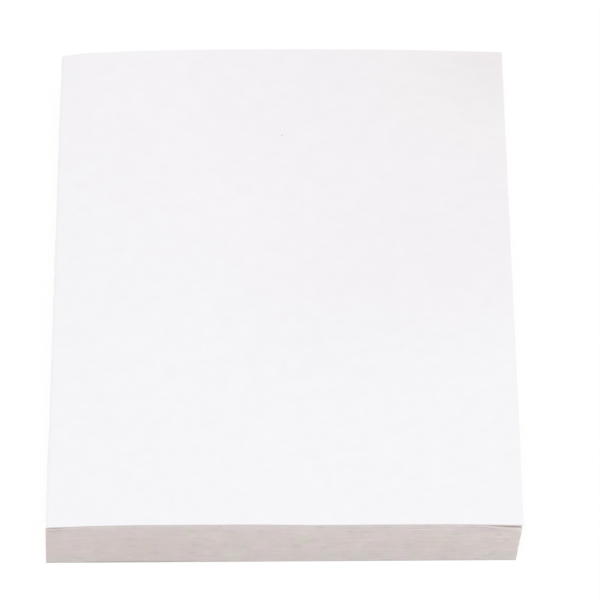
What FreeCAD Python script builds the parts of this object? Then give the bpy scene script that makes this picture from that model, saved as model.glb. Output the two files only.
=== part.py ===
import FreeCAD, Part
import os

# Sticky note pad, lying flat with its glued edge away from the viewer.
# Lengths are in millimetres. The origin is the centre of the underside, +X points right,
# +Y points to the glued edge and +Z points up.

# Sheets
note_width = 76.2
note_length = 101.6
note_thickness = 0.094
block_notes = 97
backing_thickness = 0.1

# Adhesive strip on the back of each note, along the glued edge and clear of the note's sides
adhesive_thickness = 0.02
adhesive_clearance = 0.012
adhesive_width = 16.0
adhesive_inset = 0.5

# Cut sides: the pile leans to the right as it rises, and its foot is narrower than its top
foot_taper = 0.32
lean = 0.5
top_note_slip = 0.26

# Crown: how far the middle of the top stands above its corners, at the front and far edges
front_crown = 0.25
front_crown_power = 8.0
far_crown = 1.13
far_crown_power = 2.45
far_crown_peak = -8.8

# Swell in the left half of the front edge
swell_height = 0.26
swell_centre = -15.2
swell_reach = 20.7
swell_power = 4.0

# Two corners of the top that sag: depth, and reach along X and Y
front_right_sag = 0.12
front_right_reach_x = 13.0
front_right_reach_y = 18.0
far_left_sag = 0.3
far_left_reach_x = 4.5
far_left_reach_y = 8.0

# Air that opens under each loose note at the two front corners, and its reach along X and Y
loose_notes = ["third_note", "second_note", "top_note"]
right_gaps = {"third_note": 0.04, "second_note": 0.95, "top_note": 0.02}
right_gap_reach_x = 7.0
right_gap_reach_y = 14.0
left_gaps = {"third_note": 0.03, "second_note": 0.3, "top_note": 0.02}
left_gap_reach_x = 4.6
left_gap_reach_y = 9.0

# Spacing of the points that a curved sheet passes through, and how far they run past its edges
point_step = 2.0
point_margin = 2.0

left_edge = lean - note_width / 2
right_edge = lean + note_width / 2
front_edge = -note_length / 2
far_edge = note_length / 2
foot_width = note_width - foot_taper
sheet_spacing = adhesive_thickness + 2 * adhesive_clearance
block_start = backing_thickness + sheet_spacing
block_height = block_notes * note_thickness

# Outlines in plan: start and end along X, then start and end along Y
foot_outline = (-foot_width / 2, foot_width / 2, front_edge, far_edge)
top_outline = (left_edge, right_edge, front_edge, far_edge)


def ease(share):
    """1 at share 0, falling smoothly to 0 at share 1 and beyond."""
    share = min(share, 1.0)
    return 1.0 - share * share * (3.0 - 2.0 * share)


def corner_fade(x, y, corner_x, corner_y, reach_x, reach_y):
    """1 at a corner of the pile, falling smoothly to 0 at its reach."""
    away = ((x - corner_x) / reach_x) ** 2 + ((y - corner_y) / reach_y) ** 2
    return ease(away ** 0.5)


def front_rise(x):
    """Height of the front edge above its corners."""
    across = abs(x - lean) / (note_width / 2)
    off_centre = min(abs(x - swell_centre) / swell_reach, 1.0)
    crown = front_crown * (1.0 - across ** front_crown_power)
    return crown + swell_height * (1.0 - off_centre ** swell_power) ** 2


def far_rise(x):
    """Height of the far edge above its corners."""
    side = left_edge if x < far_crown_peak else right_edge
    across = (x - far_crown_peak) / (side - far_crown_peak)
    return far_crown * (1.0 - across ** far_crown_power)


def top_rise(x, y):
    """Height of the pad's top above its corners."""
    near = ease(max(y - front_edge, 0.0) / note_length)
    height = near * front_rise(x) + (1.0 - near) * far_rise(x)
    front = corner_fade(x, y, right_edge, front_edge, front_right_reach_x, front_right_reach_y)
    far = corner_fade(x, y, left_edge, far_edge, far_left_reach_x, far_left_reach_y)
    return height - front_right_sag * front - far_left_sag * far


def gap_under(note, x, y):
    """Air under one loose note."""
    right = corner_fade(x, y, right_edge, front_edge, right_gap_reach_x, right_gap_reach_y)
    left = corner_fade(x, y, left_edge, front_edge, left_gap_reach_x, left_gap_reach_y)
    return right_gaps[note] * right + left_gaps[note] * left


def block_top(x, y):
    """Height of the block's top: it sinks by all the air that opens above it."""
    air = sum(gap_under(note, x, y) for note in loose_notes)
    return block_start + block_height + top_rise(x, y) - air


def note_underside(index, x, y):
    """Height of a loose note's underside; index 0 is the lowest loose note."""
    air = sum(gap_under(note, x, y) for note in loose_notes[:index + 1])
    below = index * note_thickness + (index + 1) * sheet_spacing
    return block_top(x, y) + below + air


def points_along(start, end):
    """First point, spacing and number of the points that cover an edge and its margins."""
    margin = point_margin + abs(top_note_slip)
    length = end - start + 2 * margin
    steps = max(round(length / point_step), 4)
    return start - margin, length / steps, steps + 1


def curved_surface(height_at):
    """Smooth surface through the heights of a grid of points, with x and y as its parameters."""
    first_x, step_x, count_x = points_along(left_edge, right_edge)
    first_y, step_y, count_y = points_along(front_edge, far_edge)
    heights = []
    for i in range(count_x):
        x = first_x + i * step_x
        heights.append([height_at(x, first_y + j * step_y) for j in range(count_y)])
    surface = Part.BSplineSurface()
    surface.interpolate(heights, first_x, step_x, first_y, step_y)
    return surface


def level_surface(height):
    """Level plane, with x and y as its parameters."""
    return raised(Part.Plane(), height)


def raised(surface, height):
    """Copy of a surface, moved straight up."""
    copy = surface.copy()
    copy.translate(FreeCAD.Vector(0, 0, height))
    return copy


def solid_between(underside, topside):
    """Solid between two four-sided faces, closed by ruled sides."""
    sides = [Part.makeRuledSurface(low, high) for low, high in zip(underside.Edges, topside.Edges)]
    shell = Part.Shell([underside, topside] + sides)
    shell.sewShape()
    solid = Part.Solid(shell)
    if solid.Volume < 0:
        solid.reverse()
    return solid


def sheet(surface, thickness, outline):
    """One sheet whose underside lies on a surface."""
    return solid_between(surface.toShape(*outline), raised(surface, thickness).toShape(*outline))


def block_of_notes(foot_surface, top_surface):
    """The notes that lie close together, as one block with leaning, tapering sides."""
    return solid_between(foot_surface.toShape(*foot_outline), top_surface.toShape(*top_outline))


def adhesive_strip(surface_below, outline):
    """Strip of adhesive between two sheets, along their glued edge."""
    start_x, end_x, _, end_y = outline
    strip_end = end_y - adhesive_inset
    strip = (start_x + adhesive_inset, end_x - adhesive_inset, strip_end - adhesive_width, strip_end)
    return sheet(raised(surface_below, adhesive_clearance), adhesive_thickness, strip)


def slid(outline, distance):
    """Outline moved along X."""
    start_x, end_x, start_y, end_y = outline
    return start_x + distance, end_x + distance, start_y, end_y


def write(node, solid):
    """One STEP file for one piece, in the pad's own frame."""
    solid.exportStep("parts/" + node + ".step")


os.makedirs("parts", exist_ok=True)
foot_surface = level_surface(block_start)
block_surface = curved_surface(block_top)
write("backing_sheet", sheet(level_surface(0.0), backing_thickness, foot_outline))
write("last_note_adhesive", adhesive_strip(level_surface(backing_thickness), foot_outline))
write("note_block", block_of_notes(foot_surface, block_surface))

surface_below = block_surface
for index, note in enumerate(loose_notes):
    outline = slid(top_outline, top_note_slip if note == "top_note" else 0.0)
    underside = curved_surface(lambda x, y: note_underside(index, x, y))
    write(note + "_adhesive", adhesive_strip(surface_below, outline))
    write(note, sheet(underside, note_thickness, outline))
    surface_below = raised(underside, note_thickness)
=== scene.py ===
import math

import bmesh
import bpy
import numpy as np
from mathutils import Matrix, Vector


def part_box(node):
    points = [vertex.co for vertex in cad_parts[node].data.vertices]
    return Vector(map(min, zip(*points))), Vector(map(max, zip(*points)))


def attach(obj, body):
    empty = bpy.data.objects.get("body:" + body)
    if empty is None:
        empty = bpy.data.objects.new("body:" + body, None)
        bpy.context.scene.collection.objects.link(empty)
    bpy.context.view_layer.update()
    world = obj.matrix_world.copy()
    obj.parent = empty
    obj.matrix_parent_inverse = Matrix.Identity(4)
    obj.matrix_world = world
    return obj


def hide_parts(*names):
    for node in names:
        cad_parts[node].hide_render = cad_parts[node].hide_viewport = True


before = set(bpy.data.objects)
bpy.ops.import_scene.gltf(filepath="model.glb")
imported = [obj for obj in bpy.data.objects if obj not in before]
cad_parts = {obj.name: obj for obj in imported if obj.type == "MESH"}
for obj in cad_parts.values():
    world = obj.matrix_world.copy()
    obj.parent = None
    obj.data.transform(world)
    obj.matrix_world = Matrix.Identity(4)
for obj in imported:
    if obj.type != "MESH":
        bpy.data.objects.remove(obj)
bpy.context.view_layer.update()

# Sticky note pad on a white table. Lengths are in metres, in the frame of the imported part:
# +X to the right, +Y to the glued edge, +Z up.
MM = 0.001

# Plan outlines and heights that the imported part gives
foot_low, foot_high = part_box("backing_sheet")
note_low, note_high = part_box("second_note")
top_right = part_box("top_note")[1].x
block_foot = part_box("note_block")[0].z
left_edge, right_edge = note_low.x, note_high.x
front_edge, far_edge = note_low.y, note_high.y
note_width = right_edge - left_edge
note_length = far_edge - front_edge
middle_x = (left_edge + right_edge) / 2

# Sheets, as in the part
note_thickness = 0.094 * MM
block_notes = 97
block_height = block_notes * note_thickness
sheet_spacing = 0.044 * MM

# Crown and swell of the top, as in the part
front_crown = 0.25 * MM
front_crown_power = 8.0
far_crown = 1.13 * MM
far_crown_power = 2.45
far_crown_peak = -8.8 * MM
swell_height = 0.26 * MM
swell_centre = -15.2 * MM
swell_reach = 20.7 * MM
swell_power = 4.0

# Sagging corners and the air under the loose notes, as in the part. Each reach is along X and Y.
front_right_sag = 0.12 * MM
front_right_reach = (13.0 * MM, 18.0 * MM)
far_left_sag = 0.3 * MM
far_left_reach = (4.5 * MM, 8.0 * MM)
loose_notes = ["third_note", "second_note", "top_note"]
right_gaps = {"third_note": 0.04 * MM, "second_note": 0.95 * MM, "top_note": 0.02 * MM}
right_gap_reach = (7.0 * MM, 14.0 * MM)
left_gaps = {"third_note": 0.03 * MM, "second_note": 0.3 * MM, "top_note": 0.02 * MM}
left_gap_reach = (4.6 * MM, 9.0 * MM)

# The sinking of the block's corners fades out down the block, by this power of the height
sink_power = 2.5

# Points along X and Y of the loose notes, of the block and of the backing sheet, and how many
# times as many the top note has each way
note_columns, note_rows = 61, 81
block_columns, block_rows = 61, 81
backing_columns, backing_rows = 31, 41
top_note_density = 2

# Folds of a sheet's mesh stay crisp above this angle, and the rest is shaded smoothly
crisp_angle = math.radians(40)

# Ragged cut edges of the block: how far single sheets stand out or in, how much a sheet follows
# the one below it, and waves along the edge
edge_seed = 11
edge_scatter = 0.006 * MM
edge_follow = 0.85
edge_wave = 0.008 * MM
edge_wave_lengths = (9.0 * MM, 22.0 * MM, 77.0 * MM)
proud_sheets = {86: 0.03 * MM, 41: 0.015 * MM}

# Groove between two sheets: its depth, and the shares of a sheet's thickness that it takes from
# the foot and from the top of the sheet's edge. The block's upper rim is set in by far less.
groove_depth = 0.035 * MM
groove_share = 0.22
groove_top_share = 0.02
rim_inset = 0.1 * groove_depth

# Seam between two notes of the block, open near the two front corners. The note in it is set back,
# the note under it stands out, and the note over it is cut away by a share of its thickness.
# Each open stretch has its widest place along X, its reach to the left and right, and how far open
# it is there.
seam_sheet = 92
seam_share = 0.95
seam_depth = 0.25 * MM
seam_lip = 0.08 * MM
seam_stretches = [(30.5 * MM, 1.3 * MM, 7.5 * MM, 1.0), (-36.2 * MM, 3.0 * MM, 3.0 * MM, 0.3)]
seam_run = 6.0 * MM

# Painted shade and light on the cut edges, from the foot up: darker towards the foot and lighter near
# the top. Each is a height and the colour that multiplies the edges
edge_light_and_shade = [
    (0.0, (0.960, 0.985, 0.995)),
    (1.2 * MM, (0.966, 0.978, 0.988)),
    (3.5 * MM, (0.993, 0.993, 0.997)),
    (5.0 * MM, (0.990, 0.992, 0.995)),
    (8.0 * MM, (1.020, 1.027, 1.038)),
    (9.6 * MM, (1.020, 1.037, 1.062)),
]

# Painted contact shadow along the foot, and its darker stretch: middle along X, half its length and
# the blur of its ends
foot_line_tone = (0.96, 0.96, 0.96)
foot_line_low = 0.2 * MM
foot_line_high = 0.5 * MM
foot_shadow_tone = (0.77, 0.77, 0.77)
foot_shadow_centre = -24.0 * MM
foot_shadow_reach = 7.5 * MM
foot_shadow_blur = 1.5 * MM

# Values between which nearly all of a noise lies
noise_low, noise_high = 0.3, 0.7

# Height of the relief of paper fibres, and of the smoother backing sheet and adhesive
fibre_relief = 0.02 * MM
fine_relief = 0.01 * MM

white = (1.0, 1.0, 1.0)

# White table: half its side, how far it lies under the pad's foot, its colour, and the white that
# it shows in part. Then the strength of the light from all round, and the one lamp.
floor_reach = 3.0
floor_drop = 0.02 * MM
floor_colour = (0.82, 0.82, 0.82)
floor_glow = 1.025
floor_glow_share = 0.9
world_strength = 0.50
key_place = (0.1, -0.52, 2.0)
key_target = (0.0, 0.0, 0.0)
key_size = 1.2
key_power = 24.2


def ease(share):
    """1 at share 0, falling smoothly to 0 at share 1 and beyond."""
    share = np.minimum(share, 1.0)
    return 1.0 - share * share * (3.0 - 2.0 * share)


def corner_fade(x, y, corner_x, corner_y, reach):
    """1 at a corner of the pile, falling smoothly to 0 at its reach."""
    return ease(np.hypot((x - corner_x) / reach[0], (y - corner_y) / reach[1]))


def front_rise(x):
    """Height of the front edge above its corners."""
    across = np.abs(x - middle_x) / (note_width / 2)
    off_centre = np.minimum(np.abs(x - swell_centre) / swell_reach, 1.0)
    crown = front_crown * (1.0 - across ** front_crown_power)
    return crown + swell_height * (1.0 - off_centre ** swell_power) ** 2


def far_rise(x):
    """Height of the far edge above its corners."""
    side = np.where(x < far_crown_peak, left_edge, right_edge)
    across = (x - far_crown_peak) / (side - far_crown_peak)
    return far_crown * (1.0 - across ** far_crown_power)


def top_rise(x, y):
    """Height of the pad's top above its corners."""
    near = ease(np.maximum(y - front_edge, 0.0) / note_length)
    height = near * front_rise(x) + (1.0 - near) * far_rise(x)
    height = height - front_right_sag * corner_fade(x, y, right_edge, front_edge, front_right_reach)
    return height - far_left_sag * corner_fade(x, y, left_edge, far_edge, far_left_reach)


def gap_under(note, x, y):
    """Air under one loose note."""
    right = corner_fade(x, y, right_edge, front_edge, right_gap_reach)
    left = corner_fade(x, y, left_edge, front_edge, left_gap_reach)
    return right_gaps[note] * right + left_gaps[note] * left


def block_air(x, y):
    """How far the block's top sinks under the loose notes."""
    return sum(gap_under(note, x, y) for note in loose_notes)


def note_underside(index, x, y):
    """Height of a loose note's underside; index 0 is the lowest loose note."""
    air = sum(gap_under(note, x, y) for note in loose_notes[:index + 1])
    below = index * note_thickness + (index + 1) * sheet_spacing
    return block_foot + block_height + top_rise(x, y) - block_air(x, y) + below + air


def on_top(x, y):
    """Point of the top note's upper face."""
    topmost = loose_notes.index("top_note")
    return (x, y, float(note_underside(topmost, x, y)) + note_thickness)


# Tones of the top note: faintly violet along the far side, a shade darker right of the middle and
# at the right edge, painted shade, greyer and warmer, towards the far right corner, and one small grey
# speck.
# Each has a centre, a reach and the colour that multiplies the paper at the centre.
top_spots = [
    (on_top(4.0 * MM, far_edge), 75.0 * MM, (1.0, 0.986, 0.998)),
    (on_top(13.0 * MM, -2.0 * MM), 27.0 * MM, (0.982, 0.979, 0.982)),
    (on_top(top_right, far_edge), 60.0 * MM, (0.972, 0.962, 0.950)),
    (on_top(top_right, far_edge), 18.0 * MM, (0.962, 0.950, 0.940)),
    (on_top(top_right, 6.0 * MM), 28.0 * MM, (0.991, 0.984, 0.990)),
    (on_top(0.57 * MM, 31.05 * MM), 0.15 * MM, (0.3, 0.29, 0.3)),
]

# Tones of the cut edges, written the same way: painted light at the front right corner, and painted
# shade, darker and pinker, left of the middle
edge_spots = [
    ((top_right, front_edge, 5.0 * MM), 12.5 * MM, (1.046, 1.046, 1.050)),
    ((-23.0 * MM, front_edge, 4.0 * MM), 17.0 * MM, (0.991, 0.970, 0.977)),
]


def new_piece(name, points, faces, materials, face_slots, smooth=True):
    """Mesh object on the part's only body."""
    mesh = bpy.data.meshes.new(name)
    mesh.from_pydata([tuple(p) for p in points], [], faces)
    for material in materials:
        mesh.materials.append(material)
    mesh.polygons.foreach_set("material_index", face_slots)
    mesh.polygons.foreach_set("use_smooth", [smooth] * len(mesh.polygons))
    mesh.update()
    piece = bpy.data.objects.new(name, mesh)
    bpy.context.collection.objects.link(piece)
    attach(piece, "root")
    return piece


def node_tree(name):
    """New material, its node tree and its surface shader."""
    material = bpy.data.materials.new(name)
    material.use_nodes = True
    tree = material.node_tree
    return material, tree, tree.nodes["Principled BSDF"]


def put(tree, socket, value):
    """Gives a socket a number, vector or opaque colour, or joins another node's result to it."""
    if isinstance(value, bpy.types.NodeSocket):
        tree.links.new(value, socket)
    elif socket.type == "RGBA":
        socket.default_value = (*value, 1.0)
    else:
        socket.default_value = value


def add_node(tree, kind, **inputs):
    """Node of one kind, with a value or another node's result in each named input."""
    node = tree.nodes.new(kind)
    for key, value in inputs.items():
        put(tree, node.inputs[key.replace("_", " ")], value)
    return node


def position(tree):
    """Place on the piece, in the part's frame."""
    return tree.nodes.new("ShaderNodeTexCoord").outputs["Object"]


def noise(tree, scale, detail=2.0, roughness=0.5):
    """Noise over the position; scale is cycles per metre for each axis."""
    place = add_node(tree, "ShaderNodeMapping", Vector=position(tree), Scale=scale)
    texture = add_node(
        tree, "ShaderNodeTexNoise",
        Vector=place.outputs["Vector"], Scale=1.0, Detail=detail, Roughness=roughness,
    )
    return texture.outputs["Fac"]


def map_range(tree, value, start, end, low=0.0, high=1.0):
    """Low while a value is short of the start, high from the end on, and straight between them."""
    node = add_node(
        tree, "ShaderNodeMapRange",
        Value=value, From_Min=start, From_Max=end, To_Min=low, To_Max=high,
    )
    return node.outputs["Result"]


def spread(tree, grain, low, high):
    """Noise that runs from low to high."""
    return map_range(tree, grain, noise_low, noise_high, low, high)


def math_result(tree, operation, first, second=None):
    """Result of a calculation on one or two numbers."""
    node = tree.nodes.new("ShaderNodeMath")
    node.operation = operation
    put(tree, node.inputs[0], first)
    if second is not None:
        put(tree, node.inputs[1], second)
    return node.outputs["Value"]


def times(tree, colour, other):
    """Product of a colour and another colour or a number."""
    product = tree.nodes.new("ShaderNodeVectorMath")
    product.operation = "MULTIPLY"
    put(tree, product.inputs[0], colour)
    put(tree, product.inputs[1], other)
    return product.outputs["Vector"]


def tinted(tree, factor, low, high):
    """Colour that runs from low to high with a factor."""
    mix = tree.nodes.new("ShaderNodeMix")
    mix.data_type = "RGBA"
    for key, value in (("Factor", factor), ("A", low), ("B", high)):
        put(tree, mix.inputs[key], value)
    return mix.outputs["Result"]


def bumped(tree, shader, height, distance, strength):
    """Joins a height to the shader's normal."""
    bump = add_node(tree, "ShaderNodeBump", Height=height, Strength=strength, Distance=distance)
    put(tree, shader.inputs["Normal"], bump.outputs["Normal"])


def with_spots(tree, colour, spots):
    """Colour times every spot's tint, which fades to white at the spot's reach."""
    for centre, reach, tint in spots:
        away = tree.nodes.new("ShaderNodeVectorMath")
        away.operation = "DISTANCE"
        put(tree, away.inputs[0], position(tree))
        put(tree, away.inputs[1], centre)
        fade = map_range(tree, away.outputs["Value"], 0.0, reach)
        colour = times(tree, colour, tinted(tree, fade, tint, white))
    return colour


def height_ramp(tree, height, stops):
    """Colour that follows the stops, each a height and a colour, from the lowest to the highest."""
    highest = stops[-1][0]
    share = map_range(tree, height, 0.0, highest)
    ramp = add_node(tree, "ShaderNodeValToRGB", Fac=share)
    elements = ramp.color_ramp.elements
    for level, _ in stops[1:-1]:
        elements.new(level / highest)
    for element, (_, tone) in zip(elements, stops):
        element.color = (*tone, 1.0)
    return ramp.outputs["Color"]


def edge_shade(tree):
    """Painted shade and light on the cut edges by height, with a painted contact shadow along the foot
    that is deepest left of the middle.
    """
    axes = add_node(tree, "ShaderNodeSeparateXYZ", Vector=position(tree))
    off_centre = math_result(tree, "SUBTRACT", axes.outputs["X"], foot_shadow_centre)
    distance = math_result(tree, "ABSOLUTE", off_centre)
    beside = map_range(
        tree, distance, foot_shadow_reach - foot_shadow_blur, foot_shadow_reach + foot_shadow_blur
    )
    # Painted contact shadow along the foot, darkest in its stretch left of the middle
    line_tone = tinted(tree, beside, foot_shadow_tone, foot_line_tone)
    above = map_range(tree, axes.outputs["Z"], foot_line_low, foot_line_high)
    line = tinted(tree, above, line_tone, white)
    return times(tree, line, height_ramp(tree, axes.outputs["Z"], edge_light_and_shade))


def paper(name, thin, thick, spots=()):
    """Matt paper with a faint cloudy formation between two colours, and fine fibre relief."""
    material, tree, shader = node_tree(name)
    cloud = noise(tree, (420.0, 420.0, 420.0), detail=3.0)
    colour = tinted(tree, spread(tree, cloud, 0.0, 1.0), thin, thick)
    fibres = noise(tree, (5200.0, 3600.0, 4200.0), detail=4.0, roughness=0.6)
    put(tree, shader.inputs["Base Color"], with_spots(tree, colour, spots))
    put(tree, shader.inputs["Roughness"], spread(tree, fibres, 0.82, 0.95))
    put(tree, shader.inputs["Specular IOR Level"], 0.3)
    bumped(tree, shader, fibres, distance=fibre_relief, strength=0.35)
    return material


def page_edges(name, painted_light=1.0):
    """Cut edges of notes: greyer and warmer than the faces, partly the paper's own tone and partly
    painted shade of the fine gaps between sheets, with faint patches and flecks. A factor over 1 lifts
    the colour as painted light.
    """
    material, tree, shader = node_tree(name)
    pink = [painted_light * share for share in (0.848, 0.750, 0.753)]
    cream = [painted_light * share for share in (0.816, 0.771, 0.714)]
    blotches = noise(tree, (430.0, 430.0, 430.0), detail=2.0)
    long_patches = noise(tree, (45.0, 45.0, 120.0), detail=1.0)
    short_patches = noise(tree, (330.0, 330.0, 430.0), detail=2.0)
    flecks = noise(tree, (520.0, 520.0, 1100.0), detail=1.0)
    light_flecks = map_range(tree, flecks, start=0.64, end=0.72, low=1.0, high=1.05)
    dark_flecks = map_range(tree, flecks, start=0.36, end=0.28, low=1.0, high=0.94)
    colour = tinted(tree, spread(tree, blotches, 0.0, 1.0), pink, cream)
    colour = times(tree, colour, spread(tree, long_patches, 0.995, 1.005))
    colour = times(tree, colour, spread(tree, short_patches, 0.976, 1.024))
    colour = times(tree, colour, light_flecks)
    colour = times(tree, colour, dark_flecks)
    # Painted shade towards the foot, painted light near the top and a painted contact shadow along the
    # foot
    colour = times(tree, colour, edge_shade(tree))
    fibres = noise(tree, (3000.0, 3000.0, 9000.0), detail=3.0)
    put(tree, shader.inputs["Base Color"], with_spots(tree, colour, edge_spots))
    put(tree, shader.inputs["Roughness"], spread(tree, fibres, 0.86, 0.96))
    put(tree, shader.inputs["Specular IOR Level"], 0.25)
    bumped(tree, shader, fibres, distance=fibre_relief, strength=0.4)
    return material


def backing_edge():
    """Cut edge of the backing sheet: a darker line at the pad's foot, partly the card's own edge and
    partly painted contact shadow.
    """
    material, tree, shader = node_tree("backing_edge")
    dark, light = (0.73, 0.66, 0.63), (0.80, 0.73, 0.70)
    streaks = noise(tree, (60.0, 60.0, 2500.0), detail=3.0)
    colour = tinted(tree, spread(tree, streaks, 0.0, 1.0), dark, light)
    fibres = noise(tree, (3000.0, 3000.0, 6000.0), detail=3.0)
    # Painted contact shadow along the foot, on top of the card edge's own tone
    put(tree, shader.inputs["Base Color"], times(tree, colour, edge_shade(tree)))
    put(tree, shader.inputs["Roughness"], spread(tree, fibres, 0.8, 0.92))
    bumped(tree, shader, fibres, distance=fibre_relief, strength=0.4)
    return material


def backing_paper():
    """Backing sheet: smoother and a little glossier than the notes."""
    material, tree, shader = node_tree("backing_paper")
    dark, light = (0.80, 0.77, 0.73), (0.85, 0.82, 0.78)
    cloud = noise(tree, (260.0, 260.0, 260.0), detail=4.0)
    fibres = noise(tree, (2600.0, 1500.0, 2600.0), detail=3.0)
    put(tree, shader.inputs["Base Color"], tinted(tree, spread(tree, cloud, 0.0, 1.0), dark, light))
    put(tree, shader.inputs["Roughness"], spread(tree, cloud, 0.42, 0.56))
    bumped(tree, shader, fibres, distance=fine_relief, strength=0.3)
    return material


def adhesive_coat():
    """Low-tack adhesive: a dull, slightly grainy coat."""
    material, tree, shader = node_tree("adhesive_coat")
    dark, light = (0.78, 0.78, 0.74), (0.88, 0.88, 0.85)
    grain = noise(tree, (2500.0, 2500.0, 2500.0), detail=2.0)
    put(tree, shader.inputs["Base Color"], tinted(tree, spread(tree, grain, 0.0, 1.0), dark, light))
    put(tree, shader.inputs["Roughness"], spread(tree, grain, 0.45, 0.7))
    bumped(tree, shader, grain, distance=fine_relief, strength=0.5)
    return material


def grid_faces(columns, rows, start, flip):
    """Quads of a grid of points numbered row by row from a start."""
    faces = []
    for j in range(rows - 1):
        for i in range(columns - 1):
            a = start + j * columns + i
            quad = (a, a + 1, a + 1 + columns, a + columns)
            faces.append(quad[::-1] if flip else quad)
    return faces


def rim_indices(columns, rows):
    """Numbers of a grid's border points, anticlockwise seen from above."""
    front = list(range(columns))
    right = [j * columns + columns - 1 for j in range(1, rows)]
    back = [(rows - 1) * columns + i for i in range(columns - 2, -1, -1)]
    left = [j * columns for j in range(rows - 2, 0, -1)]
    return front + right + back + left


def band_faces(lower, upper):
    """Quads between two closed loops of points, facing outwards for loops seen anticlockwise."""
    count = len(lower)
    return [(lower[k], lower[(k + 1) % count], upper[(k + 1) % count], upper[k]) for k in range(count)]


def sheet_piece(name, low, high, underside, thickness, columns, rows, materials):
    """Thin sheet over a rectangle; the materials are for its topside, underside and cut edge."""
    x, y = np.meshgrid(np.linspace(low.x, high.x, columns), np.linspace(low.y, high.y, rows))
    under = np.stack([x, y, underside(x, y)], axis=-1).reshape(-1, 3)
    over = under + np.array([0.0, 0.0, thickness])
    count = columns * rows
    bottom = grid_faces(columns, rows, 0, True)
    top = grid_faces(columns, rows, count, False)
    rim = rim_indices(columns, rows)
    sides = band_faces(rim, [count + k for k in rim])
    slots = [1] * len(bottom) + [0] * len(top) + [2] * len(sides)
    piece = new_piece(name, np.concatenate([under, over]), bottom + top + sides, materials, slots)
    piece.data.set_sharp_from_angle(angle=crisp_angle)
    return piece


def seam_openness(x, y):
    """How far the block's seam stands open at each point, from 0 where it is shut to 1."""
    open_share = np.zeros(len(x))
    for widest, left_reach, right_reach, openness in seam_stretches:
        across = (x - widest) / np.where(x < widest, left_reach, right_reach)
        open_share += openness * ease(np.hypot(across, (y - front_edge) / seam_run))
    return open_share


def edge_offsets(perimeter, seam, random):
    """How far each sheet of the block stands out at each point along its edge."""
    length = 2 * (note_width + note_length)
    offsets = np.zeros((block_notes, len(perimeter)))
    drift = 0.0
    for sheet in range(block_notes):
        drift = edge_follow * drift + random.normal(0.0, edge_scatter)
        wave = np.zeros(len(perimeter))
        for wave_length in edge_wave_lengths:
            turns = round(length / wave_length)
            phase = random.uniform(0.0, 2 * math.pi)
            angle = 2 * math.pi * turns * perimeter / length + phase
            wave += random.normal(0.0, edge_wave) * np.sin(angle)
        offsets[sheet] = drift + wave + proud_sheets.get(sheet, 0.0)
    offsets[seam_sheet - 1] += seam_lip * seam
    offsets[seam_sheet] -= seam_depth * seam
    return offsets


def block_piece(face_material, edge_material):
    """Block of notes whose sides show every sheet's cut edge."""
    random = np.random.default_rng(edge_seed)
    share_x, share_y = np.meshgrid(np.linspace(0, 1, block_columns), np.linspace(0, 1, block_rows))
    rim = rim_indices(block_columns, block_rows)
    rim_x = share_x.ravel()[rim]
    rim_y = share_y.ravel()[rim]

    top_x = left_edge + rim_x * note_width
    top_y = front_edge + rim_y * note_length
    foot_x = foot_low.x + rim_x * (foot_high.x - foot_low.x)
    out_x = np.where(rim_x == 0, -1.0, np.where(rim_x == 1, 1.0, 0.0))
    out_y = np.where(rim_y == 0, -1.0, np.where(rim_y == 1, 1.0, 0.0))
    steps = np.hypot(np.diff(top_x, append=top_x[0]), np.diff(top_y, append=top_y[0]))
    perimeter = np.concatenate([[0.0], np.cumsum(steps)[:-1]])
    seam = seam_openness(top_x, top_y)
    offsets = edge_offsets(perimeter, seam, random)
    full = block_height + top_rise(top_x, top_y)
    air = block_air(top_x, top_y)

    def loop(level, offset):
        """Closed loop of points at a share of the block's height."""
        x = foot_x + (top_x - foot_x) * level + out_x * offset
        y = top_y + out_y * offset
        z = block_foot + level * full - level ** sink_power * air
        return np.stack([x, y, z], axis=-1)

    loops = []
    for sheet in range(block_notes):
        start = sheet / block_notes
        depth = groove_depth if sheet else 0.0
        share = groove_share
        over_seam = sheet == seam_sheet + 1
        if over_seam:
            depth = groove_depth + seam_depth * seam
            share = groove_share + (seam_share - groove_share) * seam
        groove_top = (sheet + share) / block_notes
        if sheet == seam_sheet:
            loops.append(loop(start, offsets[sheet - 1]))
        loops.append(loop(start, offsets[sheet] - depth))
        if over_seam:
            loops.append(loop(groove_top, offsets[sheet] - depth))
        loops.append(loop(groove_top, offsets[sheet]))
        loops.append(loop((sheet + 1) / block_notes - groove_top_share / block_notes, offsets[sheet]))
    loops.append(loop(1.0, offsets[-1] - rim_inset))

    count = len(rim)
    faces = []
    for k in range(len(loops) - 1):
        lower = [k * count + i for i in range(count)]
        faces += band_faces(lower, [i + count for i in lower])
    side_count = len(faces)
    points = np.concatenate(loops)

    cap_x = left_edge + share_x * note_width
    cap_y = front_edge + share_y * note_length
    cap_z = block_foot + block_height + top_rise(cap_x, cap_y) - block_air(cap_x, cap_y)
    cap = np.stack([cap_x, cap_y, cap_z], axis=-1).reshape(-1, 3)
    last_loop = (len(loops) - 1) * count
    cap_start = len(points)
    numbers = {inner: cap_start + inner for inner in range(len(cap))}
    numbers.update({border: last_loop + k for k, border in enumerate(rim)})
    for quad in grid_faces(block_columns, block_rows, 0, False):
        faces.append(tuple(numbers[corner] for corner in quad))
    faces.append(tuple(range(count - 1, -1, -1)))
    points = np.concatenate([points, cap])
    slots = [1] * side_count + [0] * (len(faces) - side_count)
    materials = [face_material, edge_material]
    piece = new_piece("note_block_pages", points, faces, materials, slots, smooth=False)
    drop_loose_points(piece)
    return piece


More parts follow.
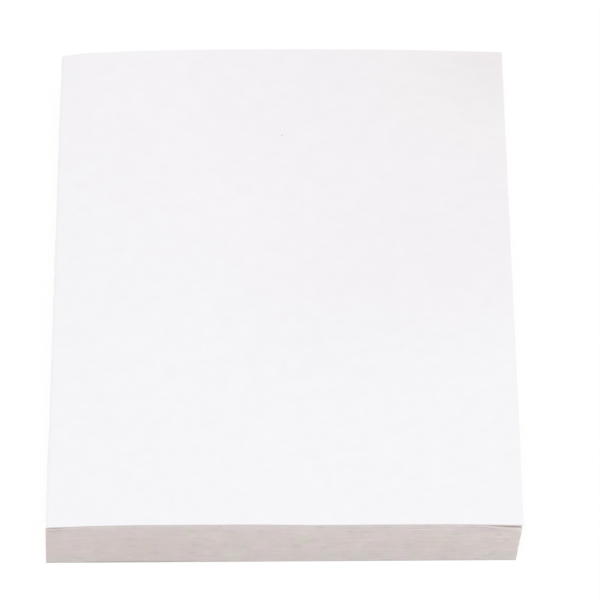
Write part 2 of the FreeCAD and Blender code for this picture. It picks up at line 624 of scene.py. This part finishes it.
def drop_loose_points(piece):
    """Deletes the points that no face uses."""
    mesh = piece.data
    used = np.zeros(len(mesh.vertices), dtype=bool)
    corners = np.empty(len(mesh.loops), dtype=np.int32)
    mesh.loops.foreach_get("vertex_index", corners)
    used[corners] = True
    work = bmesh.new()
    work.from_mesh(mesh)
    work.verts.ensure_lookup_table()
    bmesh.ops.delete(work, geom=[work.verts[i] for i in np.flatnonzero(~used)], context="VERTS")
    work.to_mesh(mesh)
    work.free()


def seen_share(tree, share):
    """The share for camera, glossy and transmission rays, and 0 for the rest."""
    path = tree.nodes.new("ShaderNodeLightPath")
    total = path.outputs["Is Camera Ray"]
    for ray in ("Is Glossy Ray", "Is Transmission Ray"):
        total = math_result(tree, "MAXIMUM", total, path.outputs[ray])
    return math_result(tree, "MULTIPLY", total, share)


def white_floor():
    """White table that keeps a faint shadow of the pad."""
    mesh = bpy.data.meshes.new("floor")
    signs = ((-1, -1), (1, -1), (1, 1), (-1, 1))
    corners = [(x * floor_reach, y * floor_reach, 0) for x, y in signs]
    mesh.from_pydata(corners, [], [(0, 1, 2, 3)])
    floor = bpy.data.objects.new("floor", mesh)
    floor.location.z = -floor_drop
    bpy.context.collection.objects.link(floor)
    material, tree, shader = node_tree("white_table")
    put(tree, shader.inputs["Base Color"], floor_colour)
    put(tree, shader.inputs["Roughness"], 1.0)
    put(tree, shader.inputs["Specular IOR Level"], 0.0)
    glow = add_node(tree, "ShaderNodeEmission", Strength=floor_glow)
    mix = add_node(tree, "ShaderNodeMixShader", Fac=seen_share(tree, floor_glow_share))
    put(tree, mix.inputs[1], shader.outputs["BSDF"])
    put(tree, mix.inputs[2], glow.outputs["Emission"])
    put(tree, tree.nodes["Material Output"].inputs["Surface"], mix.outputs["Shader"])
    mesh.materials.append(material)


def white_world():
    """Soft light from all round, which shows as plain white."""
    world = bpy.data.worlds.new("studio")
    bpy.context.scene.world = world
    world.use_nodes = True
    tree = world.node_tree
    background = tree.nodes["Background"]
    put(tree, background.inputs["Color"], white)
    level = map_range(tree, seen_share(tree, 1.0), 0.0, 1.0, low=world_strength, high=1.0)
    put(tree, background.inputs["Strength"], level)


def soft_lamp(name, place, target, size, power):
    """Square area lamp that faces a target."""
    data = bpy.data.lights.new(name, "AREA")
    data.size = size
    data.energy = power
    lamp = bpy.data.objects.new(name, data)
    lamp.location = place
    lamp.rotation_euler = (Vector(target) - Vector(place)).to_track_quat("-Z", "Y").to_euler()
    bpy.context.collection.objects.link(lamp)


def photo_camera():
    """Camera at the photograph's angle: it was fitted to the pad's corners in the 600 pixel frame."""
    azimuth, elevation, roll = math.radians(-0.35), math.radians(51.042), math.radians(-0.068)
    aim = Vector((3.446 * MM, 3.489 * MM, 0.0))
    distance = 767.9 * MM
    focal_pixels = 4542.9
    frame_pixels = 600.0
    level = math.cos(elevation)
    back = Vector((math.sin(azimuth) * level, -math.cos(azimuth) * level, math.sin(elevation)))
    level_right = Vector((math.cos(azimuth), math.sin(azimuth), 0.0))
    level_up = back.cross(level_right)
    right = math.cos(roll) * level_right + math.sin(roll) * level_up
    up = -math.sin(roll) * level_right + math.cos(roll) * level_up
    data = bpy.data.cameras.new("photo_camera")
    data.sensor_width = 36.0
    data.lens = data.sensor_width * focal_pixels / frame_pixels
    data.clip_start = 0.01
    data.clip_end = 20.0
    camera = bpy.data.objects.new("photo_camera", data)
    turn = Matrix((right, up, back)).transposed().to_4x4()
    camera.matrix_world = Matrix.Translation(aim + back * distance) @ turn
    bpy.context.collection.objects.link(camera)
    bpy.context.scene.camera = camera


white_paper = paper("white_paper", (0.900, 0.890, 0.910), (0.918, 0.909, 0.928), top_spots)
# Paper of the faces inside the pile, a darker and warmer copy of the white paper: painted shade in the
# gaps between notes
shaded_paper = paper("shaded_paper", (0.895, 0.835, 0.815), (0.915, 0.860, 0.840))
edges = page_edges("page_edges")
# Edges of the loose notes, made lighter than the block's edges as painted light
loose_edges = page_edges("loose_note_edges", painted_light=1.045)
card = backing_paper()
card_edge = backing_edge()
coat = adhesive_coat()

for index, note in enumerate(loose_notes):
    low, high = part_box(note)
    density = top_note_density if note == "top_note" else 1
    topside = shaded_paper if note == "third_note" else white_paper
    piece = sheet_piece(
        note + "_sheet", low, high, lambda x, y: note_underside(index, x, y), note_thickness,
        note_columns * density, note_rows * density, [topside, shaded_paper, loose_edges],
    )
    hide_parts(note)

block = block_piece(shaded_paper, edges)
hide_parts("note_block")

base = sheet_piece(
    "backing_sheet_card", foot_low, foot_high, lambda x, y: 0.0 * x, foot_high.z - foot_low.z,
    backing_columns, backing_rows, [card, card, card_edge],
)
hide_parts("backing_sheet")

for strip in ["last_note_adhesive"] + [note + "_adhesive" for note in loose_notes]:
    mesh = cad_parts[strip].data
    mesh.materials.clear()
    mesh.materials.append(coat)

white_floor()
white_world()
soft_lamp("key", key_place, key_target, key_size, key_power)
photo_camera()
bpy.context.scene.view_settings.view_transform = "Standard"
